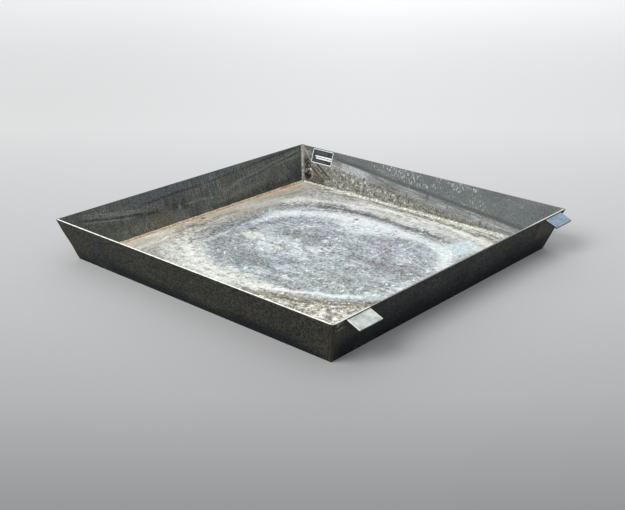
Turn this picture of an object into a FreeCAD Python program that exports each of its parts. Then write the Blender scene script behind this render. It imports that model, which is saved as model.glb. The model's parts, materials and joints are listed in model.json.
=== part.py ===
import FreeCAD, Part
import os
import Sketcher

# Welded steel oil drain pan: a square tray with flared walls, two tabs and a drain.
#
# Frame: the origin is the centre of the floor plate's underside and +Z is up. The wall
# with the two tabs faces -Y and the wall with the drain and the data label faces +X.
# Lengths are millimetres and angles are degrees.

# Driving dimensions: name, value, meaning.
SIZES = [
    ("rim_side", 1219.2, "outer side of the square rim"),
    ("wall_slant", 150.3, "width of each wall strip, measured up its slope"),
    ("wall_lean", 18.5, "lean of the walls away from vertical"),
    ("plate_thick", 4.76, "thickness of the floor plate and of the walls"),
    ("seam_leg", 6.0, "leg of the weld between floor and wall"),
    ("inner_leg", 5.5, "leg of the weld inside each corner"),
    ("inner_start", 10.5, "height along the corner where its inner weld begins"),
    ("inner_stop", 3.0, "distance from the rim where the inner corner weld ends"),
    ("outer_lap", 5.0, "lap of the outer corner weld onto each wall"),
    ("outer_start", 2.0, "height along the corner where its outer weld begins"),
    ("outer_proud", 1.2, "height of the outer corner weld above the walls' faces"),
    ("outer_round", 2.5, "rounding of the outer corner weld"),
    ("tab_width", 98.0, "tab size along the rim"),
    ("tab_reach", 48.0, "distance from the wall's face to a tab's free edge"),
    ("tab_thick", 6.0, "thickness of a tab"),
    ("tab_slope", 21.5, "slope of a tab below horizontal"),
    ("tab_below_rim", 3.0, "step from the outer rim edge down to a tab's top"),
    ("tab_corner", 2.0, "rounding of a tab's free corners"),
    ("tab_left_place", -503.5, "place of the left tab's centre along X"),
    ("tab_right_place", 525.5, "place of the right tab's centre along X"),
    ("tab_weld_leg", 6.0, "leg of the weld under a tab"),
    ("tab_weld_margin", 6.0, "length of tab edge left unwelded at each end"),
    ("drain_place", 536.0, "place of the drain along Y"),
    ("drain_height", 36.0, "place of the drain up the slope of its wall"),
    ("coupling_diameter", 44.5, "outer diameter of the threaded drain coupling"),
    ("coupling_length", 30.2, "length of the drain coupling"),
    ("coupling_inside", 6.0, "part of the coupling that stands inside the pan"),
    ("coupling_chamfer", 1.2, "chamfer at the mouth of the coupling's thread"),
    ("hole_gap", 0.4, "gap between the coupling and the hole in the wall"),
    ("ring_leg", 3.5, "leg of the two ring welds round the coupling"),
    ("thread_mean", 31.26, "mean diameter of the coupling's thread"),
    ("thread_gap", 0.05, "radial running gap between plug and coupling"),
    ("washer_outer", 39.0, "outer diameter of the sealing washer"),
    ("washer_inner", 33.6, "bore of the sealing washer"),
    ("washer_thick", 2.0, "thickness of the sealing washer"),
    ("shank_length", 18.0, "length of the plug's thread under its collar"),
    ("shank_chamfer", 1.5, "chamfer at the plug's free end"),
    ("collar_diameter", 39.0, "diameter of the plug's collar"),
    ("collar_thick", 4.0, "thickness of the plug's collar"),
    ("head_flats", 24.0, "width across flats of the plug's hexagon"),
    ("head_height", 9.0, "height of the plug's hexagon"),
    ("head_chamfer", 0.8, "chamfer round the top of the hexagon"),
    ("label_width", 107.0, "data label size along the wall"),
    ("label_tall", 58.0, "data label size up the wall's slope"),
    ("label_thick", 0.3, "thickness of the data label"),
    ("label_corner", 5.0, "corner radius of the data label"),
    ("label_place", 485.0, "place of the label's centre along Y"),
    ("label_below_rim", 3.5, "gap from the rim down to the label"),
]

LEAN = "Sizes.wall_lean"
THICK = "Sizes.plate_thick"
# Half the pan's width at the foot of the walls' inner faces, and that foot's height.
FOOT = f"(Sizes.rim_side / 2 - Sizes.wall_slant * sin({LEAN}) - {THICK} * cos({LEAN}))"
FOOT_HEIGHT = f"({THICK} * sin({LEAN}))"
# Half the angle between the outward normals of two neighbouring walls.
HALF_TURN = f"(acos(sin({LEAN})^2) / 2)"
# Lean of the corner lines away from vertical, and their full length.
CORNER_LEAN = f"atan(sqrt(2) * tan({LEAN}))"
CORNER_LENGTH = f"(Sizes.wall_slant * sqrt(1 + sin({LEAN})^2))"
# Distance along the drain's axis from the wall's inner face to the coupling's mouth.
COUPLING_END = "(Sizes.coupling_length - Sizes.coupling_inside)"

# Turn about Z that carries the -Y wall to each wall, and the compass of each corner.
WALL_TURNS = {"front": 0, "right": 90, "back": 180, "left": 270}
CORNER_TURNS = {"front_right": 315, "back_right": 45, "back_left": 135, "front_left": 225}

# Slack for picking edges by their place, in millimetres.
NEAR = 0.1

doc = FreeCAD.newDocument("oil_drain_pan")
sizes = doc.addObject("Spreadsheet::Sheet", "Sizes")
for row, (alias, value, meaning) in enumerate(SIZES, start=1):
    sizes.set(f"A{row}", alias)
    sizes.set(f"B{row}", str(value))
    sizes.setAlias(f"B{row}", alias)
    sizes.set(f"C{row}", meaning)
doc.recompute()


def number(expression):
    """Value of an expression of the sheet's sizes."""
    value = sizes.evalExpression(expression)
    return float(getattr(value, "Value", value))


def new_body(name):
    body = doc.addObject("PartDesign::Body", name)
    body.Label = name
    return body


def new_sketch(body, name, role):
    """Empty sketch on one of the body's own origin planes."""
    sketch = body.newObject("Sketcher::SketchObject", name)
    plane = [f for f in body.Origin.OriginFeatures if f.Role == role][0]
    sketch.AttachmentSupport = [(plane, "")]
    sketch.MapMode = "FlatFace"
    return sketch


def add_polygon(sketch, corners):
    """Closed outline through corners, each a pair of expressions of the sizes."""
    spots = [FreeCAD.Vector(number(x), number(y), 0) for x, y in corners]
    first = sketch.GeometryCount
    count = len(spots)
    for i in range(count):
        sketch.addGeometry(Part.LineSegment(spots[i], spots[(i + 1) % count]), False)
    for i in range(count):
        after = first + (i + 1) % count
        sketch.addConstraint(Sketcher.Constraint("Coincident", first + i, 2, after, 1))
    for i, (x, y) in enumerate(corners):
        for kind, place, value in (("DistanceX", x, spots[i].x), ("DistanceY", y, spots[i].y)):
            constraint = Sketcher.Constraint(kind, -1, 1, first + i, 1, value)
            index = sketch.addConstraint(constraint)
            sketch.setExpression(f"Constraints[{index}]", place)


def add_circle(sketch, x, y, diameter):
    """Circle with its centre and diameter given as expressions."""
    centre = FreeCAD.Vector(number(x), number(y), 0)
    circle = Part.Circle(centre, FreeCAD.Vector(0, 0, 1), number(diameter) / 2)
    shape = sketch.addGeometry(circle, False)
    bounds = [
        (Sketcher.Constraint("DistanceX", -1, 1, shape, 3, centre.x), x),
        (Sketcher.Constraint("DistanceY", -1, 1, shape, 3, centre.y), y),
        (Sketcher.Constraint("Diameter", shape, number(diameter)), diameter),
    ]
    for constraint, place in bounds:
        index = sketch.addConstraint(constraint)
        sketch.setExpression(f"Constraints[{index}]", place)


def add_pad(body, name, sketch, length, centred=False, downward=False):
    pad = body.newObject("PartDesign::Pad", name)
    pad.Profile = sketch
    pad.setExpression("Length", length)
    pad.Midplane = centred
    pad.Reversed = downward
    return pad


def add_revolution(body, name, sketch):
    """Turn a sketch of the XZ plane round the body's Z axis."""
    turned = body.newObject("PartDesign::Revolution", name)
    turned.Profile = sketch
    turned.ReferenceAxis = (sketch, ["V_Axis"])
    turned.Angle = 360
    return turned


def is_upright(edge):
    """Whether an edge runs along its body's Z."""
    return abs(edge.tangentAt(edge.FirstParameter).z) > 0.9


def dress_edges(body, kind, name, base, choose, size_name, size):
    """Fillet or chamfer the edges of base that choose picks out."""
    doc.recompute()
    picked = [f"Edge{i}" for i, edge in enumerate(base.Shape.Edges, start=1) if choose(edge)]
    dressed = body.newObject(f"PartDesign::{kind}", name)
    dressed.Base = (base, picked)
    dressed.setExpression(size_name, size)
    return dressed


def place(body, spot, turn):
    """Bind a body's placement; turn is yaw, pitch and roll."""
    body.setExpression(
        "Placement", f"placement(vector({'; '.join(spot)}); rotation({'; '.join(turn)}))"
    )


def on_wall(body, side, inward="0"):
    """Lay a body on a wall: its X runs along the wall, its Y up the slope and its Z
    outwards, with its origin at the foot of the wall's inner face, moved inwards."""
    turn = WALL_TURNS[side]
    reach = f"({FOOT} - {inward} * cos({LEAN}))"
    height = f"{FOOT_HEIGHT} + {inward} * sin({LEAN})"
    spot = (f"{reach} * sin({turn})", f"-{reach} * cos({turn})", height)
    place(body, spot, (str(turn), "0", f"90 + {LEAN}"))


def on_corner(body, corner, start):
    """Lay a body on a corner: its Z runs up the corner line from start and its X
    points outwards."""
    turn = CORNER_TURNS[corner]
    reach = f"({FOOT} * sqrt(2) + {start} * sin({CORNER_LEAN}))"
    height = f"{FOOT_HEIGHT} + {start} * cos({CORNER_LEAN})"
    spot = (f"{reach} * cos({turn})", f"{reach} * sin({turn})", height)
    place(body, spot, (str(turn), CORNER_LEAN, "0"))


def on_drain(body, outward):
    """Lay a body on the drain's axis: its Z points outwards, and outward is the
    distance of its origin from the wall's inner face."""
    spot = (
        f"{FOOT} + Sizes.drain_height * sin({LEAN}) + ({outward}) * cos({LEAN})",
        "Sizes.drain_place",
        f"{FOOT_HEIGHT} + Sizes.drain_height * cos({LEAN}) - ({outward}) * sin({LEAN})",
    )
    place(body, spot, ("0", f"90 + {LEAN}", "0"))


def ring(name, inner, outer, length):
    """Plain round ring along Z."""
    body = new_body(name)
    sketch = new_sketch(body, f"{name}_outline", "XY_Plane")
    add_circle(sketch, "0", "0", outer)
    add_circle(sketch, "0", "0", inner)
    add_pad(body, f"{name}_pad", sketch, length)
    return body


def make_floor():
    body = new_body("floor_plate")
    sketch = new_sketch(body, "floor_outline", "XY_Plane")
    signs = [("-1", "-1"), ("1", "-1"), ("1", "1"), ("-1", "1")]
    add_polygon(sketch, [(f"{x} * {FOOT}", f"{y} * {FOOT}") for x, y in signs])
    add_pad(body, "floor_pad", sketch, THICK)
    return body


def make_wall(side):
    """Flat strip with ends cut so that the inner faces meet along each corner line."""
    body = new_body(f"{side}_wall")
    sketch = new_sketch(body, f"{side}_outline", "XY_Plane")
    top = f"({FOOT} + Sizes.wall_slant * sin({LEAN}))"
    corners = [(f"-{FOOT}", "0"), (FOOT, "0")]
    corners += [(top, "Sizes.wall_slant"), (f"-{top}", "Sizes.wall_slant")]
    add_polygon(sketch, corners)
    add_pad(body, f"{side}_pad", sketch, THICK)
    on_wall(body, side)
    return body


def cut_drain_hole(wall):
    """Round hole through the drain wall, square to its faces."""
    doc.recompute()
    before = wall.Shape.Volume
    sketch = new_sketch(wall, "drain_hole_outline", "XY_Plane")
    hole = "(Sizes.coupling_diameter + 2 * Sizes.hole_gap)"
    add_circle(sketch, "Sizes.drain_place", "Sizes.drain_height", hole)
    pocket = wall.newObject("PartDesign::Pocket", "drain_hole")
    pocket.Profile = sketch
    pocket.Type = "ThroughAll"
    pocket.Reversed = True
    doc.recompute()
    if wall.Shape.Volume > before - 1:
        raise RuntimeError("the drain hole cuts nothing")


def make_seam_weld(side):
    """Weld that fills the angle between the floor's top and a wall's inner face.
    The front and back ones run the full width and the others stop against them."""
    body = new_body(f"floor_seam_weld_{side}")
    sketch = new_sketch(body, f"seam_{side}_outline", "XZ_Plane")
    rise = f"(({THICK} - {FOOT_HEIGHT} + Sizes.seam_leg) / cos({LEAN}))"
    corners = [
        (FOOT, FOOT_HEIGHT),
        (f"{FOOT} + {rise} * sin({LEAN})", f"{FOOT_HEIGHT} + {rise} * cos({LEAN})"),
        (f"{FOOT} - Sizes.seam_leg", THICK),
        (FOOT, THICK),
    ]
    add_polygon(sketch, corners)
    length = f"2 * {FOOT}"
    if side in ("left", "right"):
        length += " - 2 * Sizes.seam_leg"
    add_pad(body, f"seam_{side}_pad", sketch, length, centred=True)
    place(body, ("0", "0", "0"), (str(WALL_TURNS[side] - 90), "0", "0"))
    return body


def make_inner_weld(corner):
    """Weld up the inside of a corner."""
    body = new_body(f"inner_corner_weld_{corner}")
    sketch = new_sketch(body, f"inner_{corner}_outline", "XY_Plane")
    deep = f"-Sizes.inner_leg * sin({HALF_TURN})"
    wide = f"Sizes.inner_leg * cos({HALF_TURN})"
    add_polygon(sketch, [("0", "0"), (deep, wide), (deep, f"-{wide}")])
    length = f"{CORNER_LENGTH} - Sizes.inner_start - Sizes.inner_stop"
    add_pad(body, f"inner_{corner}_pad", sketch, length)
    on_corner(body, corner, "Sizes.inner_start")
    return body


def make_outer_weld(corner):
    """Weld that fills the open groove between two walls' ends and rounds the corner."""
    body = new_body(f"outer_corner_weld_{corner}")
    sketch = new_sketch(body, f"outer_{corner}_outline", "XY_Plane")
    sine = f"sin({HALF_TURN})"
    cosine = f"cos({HALF_TURN})"
    # The outer edge of a wall's end, the weld's toe on that wall, and its raised crest.
    edge = (f"{THICK} * {cosine}", f"{THICK} * {sine}")
    toe = (f"{edge[0]} - Sizes.outer_lap * {sine}", f"({edge[1]} + Sizes.outer_lap * {cosine})")
    proud = f"({THICK} + Sizes.outer_proud)"
    crest = (f"{proud} * {cosine}", f"{proud} * {sine}")
    corners = [("0", "0"), (edge[0], f"-{edge[1]}"), (toe[0], f"-{toe[1]}")]
    corners += [(crest[0], f"-{crest[1]}"), (f"{THICK} / {cosine}", "0"), crest, toe, edge]
    add_polygon(sketch, corners)
    length = f"{CORNER_LENGTH} - Sizes.outer_start"
    pad = add_pad(body, f"outer_{corner}_pad", sketch, length)
    limit = number(crest[0]) - NEAR

    def on_crest(edge):
        return is_upright(edge) and edge.CenterOfMass.x > limit

    dress_edges(body, "Fillet", f"outer_{corner}_round", pad, on_crest,
                "Radius", "Sizes.outer_round")
    on_corner(body, corner, "Sizes.outer_start")
    return body


def make_tab(side):
    """Flat tab that stands out from the front wall just under the rim."""
    body = new_body(f"lifting_tab_{side}")
    sketch = new_sketch(body, f"tab_{side}_outline", "XY_Plane")
    half = "Sizes.tab_width / 2"
    reach = "Sizes.tab_reach"
    # The tab's square-cut end rests on the leaning wall along its lower edge only.
    near = f"Sizes.tab_thick * tan(Sizes.tab_slope - {LEAN})"
    add_polygon(sketch, [(f"-{half}", near), (half, near), (half, reach), (f"-{half}", reach)])
    pad = add_pad(body, f"tab_{side}_pad", sketch, "Sizes.tab_thick", downward=True)
    limit = number(reach) - NEAR

    def at_free_corner(edge):
        return is_upright(edge) and edge.CenterOfMass.y > limit

    dress_edges(body, "Fillet", f"tab_{side}_round", pad, at_free_corner,
                "Radius", "Sizes.tab_corner")
    place(body, tab_root(side), ("180", "0", "-Sizes.tab_slope"))
    return body


def tab_root(side):
    """Middle of the edge where a tab's top meets the front wall's outer face."""
    up = "(Sizes.wall_slant - Sizes.tab_below_rim)"
    outward = f"({FOOT} + {up} * sin({LEAN}) + {THICK} * cos({LEAN}))"
    height = f"{up} * cos({LEAN})"
    return (f"Sizes.tab_{side}_place", f"-{outward}", height)


def make_tab_weld(side):
    """Weld in the angle between a tab's underside and the front wall."""
    body = new_body(f"tab_weld_{side}")
    sketch = new_sketch(body, f"tab_weld_{side}_outline", "YZ_Plane")
    # The root is where the tab's underside meets the wall: one leg follows the tab
    # outwards and the other follows the wall down.
    down = f"(Sizes.tab_thick / cos(Sizes.tab_slope - {LEAN}))"
    root = (f"{down} * sin({LEAN})", f"-{down} * cos({LEAN})")
    leg = "Sizes.tab_weld_leg"
    along_tab = (f"{root[0]} - {leg} * cos(Sizes.tab_slope)",
                 f"{root[1]} - {leg} * sin(Sizes.tab_slope)")
    along_wall = (f"{root[0]} + {leg} * sin({LEAN})", f"{root[1]} - {leg} * cos({LEAN})")
    add_polygon(sketch, [root, along_tab, along_wall])
    length = "Sizes.tab_width - 2 * Sizes.tab_weld_margin"
    add_pad(body, f"tab_weld_{side}_pad", sketch, length, centred=True)
    place(body, tab_root(side), ("0", "0", "0"))
    return body


def make_coupling():
    """Threaded half coupling let into the drain wall; the thread is a plain bore."""
    body = new_body("drain_coupling")
    sketch = new_sketch(body, "coupling_outline", "XZ_Plane")
    bore = "Sizes.thread_mean / 2"
    wide = "Sizes.coupling_diameter / 2"
    length = "Sizes.coupling_length"
    chamfer = "Sizes.coupling_chamfer"
    corners = [
        (f"{bore} + {chamfer}", "0"),
        (wide, "0"),
        (wide, length),
        (f"{bore} + {chamfer}", length),
        (bore, f"{length} - {chamfer}"),
        (bore, chamfer),
    ]
    add_polygon(sketch, corners)
    add_revolution(body, "coupling_turned", sketch)
    on_drain(body, "-Sizes.coupling_inside")
    return body


def make_ring_weld(name, outward, outside):
    """Fillet weld round the coupling, on the outer or the inner face of the wall."""
    body = new_body(name)
    sketch = new_sketch(body, f"{name}_outline", "XZ_Plane")
    wide = "Sizes.coupling_diameter / 2"
    leg = "Sizes.ring_leg"
    rise = leg if outside else f"-{leg}"
    add_polygon(sketch, [(wide, "0"), (f"{wide} + {leg}", "0"), (wide, rise)])
    add_revolution(body, f"{name}_turned", sketch)
    on_drain(body, outward)
    return body


def make_washer():
    washer = ring("plug_washer", "Sizes.washer_inner", "Sizes.washer_outer",
                  "Sizes.washer_thick")
    on_drain(washer, COUPLING_END)
    return washer


def make_plug():
    """Drain plug: threaded shank, collar and hexagon; the thread is a plain shank."""
    body = new_body("drain_plug")
    sketch = new_sketch(body, "plug_outline", "XZ_Plane")
    shank = "(Sizes.thread_mean / 2 - Sizes.thread_gap)"
    collar = "Sizes.collar_diameter / 2"
    chamfer = "Sizes.shank_chamfer"
    corners = [
        ("0", "-Sizes.shank_length"),
        (f"{shank} - {chamfer}", "-Sizes.shank_length"),
        (shank, f"-Sizes.shank_length + {chamfer}"),
        (shank, "0"),
        (collar, "0"),
        (collar, "Sizes.collar_thick"),
        ("0", "Sizes.collar_thick"),
    ]
    add_polygon(sketch, corners)
    add_revolution(body, "plug_turned", sketch)
    hexagon = new_sketch(body, "head_outline", "XY_Plane")
    reach = "Sizes.head_flats / sqrt(3)"
    corners = [(f"{reach} * cos({60 * i})", f"{reach} * sin({60 * i})") for i in range(6)]
    add_polygon(hexagon, corners)
    top = "(Sizes.collar_thick + Sizes.head_height)"
    head = add_pad(body, "plug_head", hexagon, top)
    limit = number(top) - NEAR

    def round_top(edge):
        return edge.BoundBox.ZMin > limit

    dress_edges(body, "Chamfer", "head_bevel", head, round_top, "Size", "Sizes.head_chamfer")
    on_drain(body, f"{COUPLING_END} + Sizes.washer_thick")
    return body


def make_label():
    """Thin data label with rounded corners on the drain wall's inner face."""
    body = new_body("data_label")
    sketch = new_sketch(body, "label_outline", "XY_Plane")
    wide = "Sizes.label_width / 2"
    top = "(Sizes.wall_slant - Sizes.label_below_rim)"
    low = f"({top} - Sizes.label_tall)"
    left = f"(Sizes.label_place - {wide})"
    right = f"(Sizes.label_place + {wide})"
    add_polygon(sketch, [(left, low), (right, low), (right, top), (left, top)])
    pad = add_pad(body, "label_pad", sketch, "Sizes.label_thick")
    dress_edges(body, "Fillet", "label_round", pad, is_upright, "Radius", "Sizes.label_corner")
    on_wall(body, "right", "Sizes.label_thick")
    return body


bodies = [make_floor()]
for side in WALL_TURNS:
    wall = make_wall(side)
    if side == "right":
        cut_drain_hole(wall)
    bodies += [wall, make_seam_weld(side)]
for corner in CORNER_TURNS:
    bodies += [make_inner_weld(corner), make_outer_weld(corner)]
for side in ("left", "right"):
    bodies += [make_tab(side), make_tab_weld(side)]
bodies += [
    make_coupling(),
    make_ring_weld("coupling_weld_inner", "0", outside=False),
    make_ring_weld("coupling_weld_outer", THICK, outside=True),
    make_washer(),
    make_plug(),
    make_label(),
]
doc.recompute()

for item in doc.Objects:
    if "Invalid" in item.State or "Error" in item.State:
        raise RuntimeError(f"{item.Label} failed: {item.State}")
os.makedirs("parts", exist_ok=True)
for body in bodies:
    shape = body.Shape
    if shape.isNull() or not shape.isValid():
        raise RuntimeError(f"{body.Label} has no valid shape")
    shape.exportStep(f"parts/{body.Label}.step")
print(f"{len(bodies)} parts written")
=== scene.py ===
"""Looks of the welded steel oil drain pan, built round its CAD frame in metres.

+Z is up, the wall with the tabs faces -Y and the wall with the drain faces +X.
"""
import json
from math import acos, atan, cos, pi, radians, sin, sqrt, tan, tau
import random

import bmesh
import bpy
from mathutils import Matrix, Vector


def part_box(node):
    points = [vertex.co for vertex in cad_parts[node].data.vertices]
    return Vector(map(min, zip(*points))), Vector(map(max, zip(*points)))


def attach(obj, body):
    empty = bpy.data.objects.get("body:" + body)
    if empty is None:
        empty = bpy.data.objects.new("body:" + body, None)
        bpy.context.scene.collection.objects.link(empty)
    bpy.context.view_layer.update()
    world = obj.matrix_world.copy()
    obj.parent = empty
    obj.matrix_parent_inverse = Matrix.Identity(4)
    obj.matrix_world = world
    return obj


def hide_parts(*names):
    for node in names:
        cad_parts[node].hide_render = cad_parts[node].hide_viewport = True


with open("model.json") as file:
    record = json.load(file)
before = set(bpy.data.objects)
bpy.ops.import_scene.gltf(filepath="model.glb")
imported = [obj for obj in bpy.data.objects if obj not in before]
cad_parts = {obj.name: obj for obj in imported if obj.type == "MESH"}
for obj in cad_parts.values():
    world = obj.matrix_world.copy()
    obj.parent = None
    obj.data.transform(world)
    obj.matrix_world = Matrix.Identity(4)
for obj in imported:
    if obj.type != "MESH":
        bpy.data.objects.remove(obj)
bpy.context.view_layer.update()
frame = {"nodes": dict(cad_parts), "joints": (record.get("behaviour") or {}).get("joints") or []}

# ---------- the pan's geometry
LEAN = radians(18.5)
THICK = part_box("floor_plate")[1].z
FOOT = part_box("floor_plate")[1].x
FOOT_HEIGHT = THICK * sin(LEAN)
SLANT = (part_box("right_wall")[1].x - FOOT - THICK * cos(LEAN)) / sin(LEAN)
WALL_TURNS = {"front": 0, "right": 90, "back": 180, "left": 270}
CORNER_TURNS = {"front_right": 315, "back_right": 45, "back_left": 135, "front_left": 225}
CORNER_LEAN = atan(sqrt(2) * tan(LEAN))
HALF_TURN = acos(sin(LEAN) ** 2) / 2
TURN_JOINT = [j for j in frame["joints"] if j["type"] == "hinge"][0]
DRAIN_AXIS = Vector(TURN_JOINT["axis"]).normalized()
DRAIN_MOUTH = Vector(TURN_JOINT["pos_m"])
MM = 0.001
TAB_SLOPE = radians(21.5)
COUPLING_RADIUS = 22.25 * MM


def turned_z(degrees):
    return Matrix.Rotation(radians(degrees), 4, "Z")


def wall_frame(side):
    """X runs along the wall, Y up its slope and Z outwards, from its inner face's foot."""
    tilt = Matrix.Rotation(pi / 2 + LEAN, 4, "X")
    return turned_z(WALL_TURNS[side]) @ Matrix.Translation((0, -FOOT, FOOT_HEIGHT)) @ tilt


def corner_frame(corner):
    """Z runs up the corner line of the walls' inner faces and X outwards."""
    reach = Matrix.Translation((FOOT * sqrt(2), 0, FOOT_HEIGHT))
    lean = Matrix.Rotation(CORNER_LEAN, 4, "Y")
    return turned_z(CORNER_TURNS[corner]) @ reach @ lean


def tab_frame(side):
    """X runs along the rim, Y outwards along the tab and Z square to its top face."""
    low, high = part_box(f"lifting_tab_{side}")
    root = Vector(((low.x + high.x) / 2, high.y, high.z))
    turn = Matrix.Rotation(pi, 4, "Z") @ Matrix.Rotation(-TAB_SLOPE, 4, "X")
    return Matrix.Translation(root) @ turn


def drain_frame():
    """Z runs outwards along the drain's axis from the coupling's mouth."""
    up = Vector((0, 1, 0))
    side = up.cross(DRAIN_AXIS)
    place = Matrix((side, up, DRAIN_AXIS)).transposed().to_4x4()
    place.translation = DRAIN_MOUTH
    return place


# ---------- shader helpers
def node_operator(operation):
    """Method that lets an arithmetic sign add a maths node."""
    return lambda self, *others: self.paint.calc(operation, self, *others)


class Value:
    """One number on a surface; plain arithmetic with it adds shader nodes."""

    def __init__(self, paint, socket):
        self.paint = paint
        self.socket = socket

    __add__ = node_operator("ADD")
    __sub__ = node_operator("SUBTRACT")
    __mul__ = node_operator("MULTIPLY")
    __truediv__ = node_operator("DIVIDE")
    __pow__ = node_operator("POWER")
    __abs__ = node_operator("ABSOLUTE")

    def __rsub__(self, other):
        return self.paint.calc("SUBTRACT", other, self)

    def step(self, low, high, bottom=0, top=1):
        """Smooth step from bottom at low to top at high; low may be above high."""
        if low > high:
            low, high, bottom, top = high, low, top, bottom
        inputs = {"Value": self, "From Min": low, "From Max": high, "To Min": bottom, "To Max": top}
        made = self.paint.node("MapRange", inputs, interpolation_type="SMOOTHSTEP")
        return Value(self.paint, made.outputs["Result"])

    def band(self, centre, width):
        """One at the centre, falling smoothly to zero at width on either side."""
        return abs(self - centre).step(width, 0)

    def within(self, low, high, fade):
        """One between low and high, fading to zero at both inside them."""
        return self.step(low, low + fade) * self.step(high, high - fade)

    def sway(self, reach):
        """A noise turned into a swing of the given reach round zero."""
        return (self - 0.5) * reach

    def ramp(self, *stops):
        """Colour read from stops, each a place on the ramp and a display colour."""
        made = self.paint.node("ValToRGB", {0: self})
        elements = made.color_ramp.elements
        while len(elements) < len(stops):
            elements.new(0.5)
        for element, (place, colour) in zip(elements, stops):
            element.position = place
            element.color = srgb(colour)
        return made.outputs["Color"]


class Paint:
    """One procedural material, whose colour is built up in layers."""

    def __init__(self, name, metallic=0, specular=0.3):
        self.material = bpy.data.materials.new(name)
        self.material.use_nodes = True
        self.tree = self.material.node_tree
        self.shader = self.tree.nodes["Principled BSDF"]
        self.shader.inputs["Metallic"].default_value = metallic
        self.shader.inputs["Specular IOR Level"].default_value = specular
        self.spot = self.node("TexCoord", {}).outputs["Object"]
        self.colour = None

    def node(self, kind, inputs, **settings):
        """Adds a node with its settings and wires its inputs, given by name or number."""
        made = self.tree.nodes.new("ShaderNode" + kind)
        for key, value in settings.items():
            setattr(made, key, value)
        for key, value in inputs.items():
            self.wire(made.inputs[key], value)
        return made

    def wire(self, socket, value):
        """Links a value or another node's socket, or sets a constant or a hex colour."""
        if isinstance(value, Value):
            value = value.socket
        if isinstance(value, bpy.types.NodeSocket):
            self.tree.links.new(value, socket)
        else:
            socket.default_value = srgb(value) if isinstance(value, str) else value

    def calc(self, operation, *values):
        made = self.node("Math", dict(enumerate(values)), operation=operation)
        return Value(self, made.outputs[0])

    def vector(self, operation, *values):
        made = self.node("VectorMath", dict(enumerate(values)), operation=operation)
        if operation in ("DOT_PRODUCT", "LENGTH"):
            return Value(self, made.outputs["Value"])
        return made.outputs["Vector"]

    def away(self, vector, point):
        """Distance of a place from a fixed point."""
        return self.vector("LENGTH", self.vector("SUBTRACT", vector, point))

    def stretched(self, vector, scale):
        return self.vector("MULTIPLY", vector, scale)

    def join(self, *parts):
        """Vector made of up to three values."""
        return self.node("CombineXYZ", dict(enumerate(parts))).outputs[0]

    def parts(self, vector):
        split = self.node("SeparateXYZ", {0: vector})
        return [Value(self, socket) for socket in split.outputs]

    def local(self, matrix):
        """The surface's place in another frame, as a vector and its three parts."""
        spot = self.vector("SUBTRACT", self.spot, matrix.translation[:])
        parts = [self.vector("DOT_PRODUCT", spot, matrix.col[i].xyz[:]) for i in range(3)]
        return [self.join(*parts)] + parts

    def noise(self, vector, scale, detail, rough, distort=0, output="Fac"):
        made = self.node("TexNoise", {
            "Vector": vector, "Scale": scale, "Detail": detail, "Roughness": rough,
            "Distortion": distort})
        return Value(self, made.outputs[output])

    def drift(self, scale, reach):
        """Small random shift in the XY plane that varies over the surface."""
        tints = self.noise(self.spot, scale, 4, 0.6, output="Color")
        return self.stretched(self.vector("SUBTRACT", tints, (0.5, 0.5, 0.5)), (reach, reach, 0))

    def mix(self, factor, first, second, mode="MIX"):
        """Colour that is the first where the factor is 0 and the second where it is 1."""
        return self.node("Mix", {0: factor, 6: first, 7: second}, data_type="RGBA",
                         blend_type=mode).outputs[2]

    def lay(self, mask, tone):
        """Lays a tone over the colour where the mask is one."""
        self.colour = self.mix(mask, self.colour, tone)

    def grit(self, strength, noise, dark, light):
        """Overlays a noise; dark and light are each a place on its ramp and a grey."""
        greys = noise.ramp(*((place, (grey,) * 3) for place, grey in (dark, light)))
        self.colour = self.mix(strength, self.colour, greys, "OVERLAY")

    def finish(self, rough, height=None, depth=0):
        """Wires colour and roughness, and a bump of the given depth, to the shader."""
        self.wire(self.shader.inputs["Base Color"], self.colour)
        self.wire(self.shader.inputs["Roughness"], rough)
        if height is not None:
            bump = self.node("Bump", {"Strength": 1, "Distance": depth, "Height": height})
            self.wire(self.shader.inputs["Normal"], bump.outputs["Normal"])
        return self.material


def srgb(colour):
    """Linear RGBA of a display colour, given in hex or as three numbers from 0 to 255."""
    linear = []
    for part in bytes.fromhex(colour[1:]) if isinstance(colour, str) else colour:
        part = part / 255
        linear.append(part / 12.92 if part <= 0.04045 else ((part + 0.055) / 1.055) ** 2.4)
    return (*linear, 1)


def shaded(tone, share):
    return tuple(part * share for part in bytes.fromhex(tone[1:]))


# ---------- floor's material
# Patches in the puddle: centre, half size, tone and strength.
FLOOR_PATCHES = (
    ((-0.02, 0.27), (0.045, 0.05), "#e8e8e0", 0.7),
    ((0, 0.17), (0.05, 0.08), "#d8dbd9", 0.5),
    ((-0.07, 0.12), (0.02, 0.018), "#e4dec2", 0.45),
    ((0.085, 0.13), (0.045, 0.16), "#8a9296", 0.5),
    ((-0.19, 0.17), (0.09, 0.19), "#99a4a5", 0.45),
    ((-0.16, -0.2), (0.13, 0.16), "#b4b8b5", 0.5),
    ((0.31, 0.02), (0.07, 0.21), "#e2e6e7", 0.8),
    ((0.36, -0.35), (0.11, 0.065), "#d7e3e6", 0.8),
    ((0.47, -0.36), (0.035, 0.05), "#dcd4ca", 0.35),
    ((0.07, -0.3), (0.045, 0.13), "#989ca1", 0.55),
    ((0.22, -0.18), (0.08, 0.15), "#b2b4bb", 0.45),
)
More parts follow.
